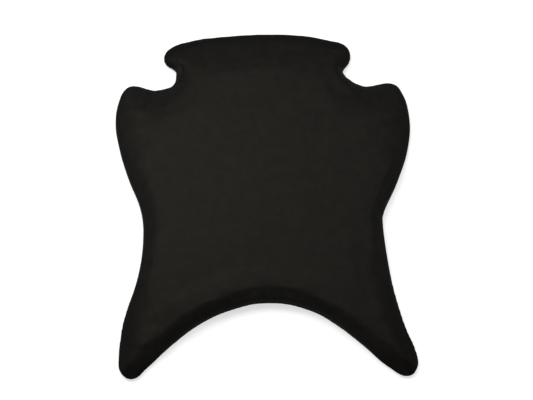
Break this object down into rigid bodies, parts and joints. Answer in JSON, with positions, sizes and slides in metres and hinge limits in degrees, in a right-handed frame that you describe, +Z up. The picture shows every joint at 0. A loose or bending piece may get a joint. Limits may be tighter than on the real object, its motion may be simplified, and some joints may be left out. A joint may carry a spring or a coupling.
{
  "type": "motorcycle tail seat pad",
  "caption": "Flat black foam pad for a single-seat motorcycle tail: short rear bar, wide shoulders, waist and two horns round a tank arch, with ramped edges.",
  "frame": {"origin": "on the flat underside, below the middle of the pad's bounding box", "axes": "+Z up out of the seat, +Y to the rear of the motorcycle, +X to the rider's right"},
  "size_m": [0.2894, 0.3584, 0.024],
  "materials": {
    "black_foam": "matt black closed-cell foam with a fine skin"
  },
  "bodies": {
    "root": {"seat_pad": "black_foam"}
  },
  "joints": []
}
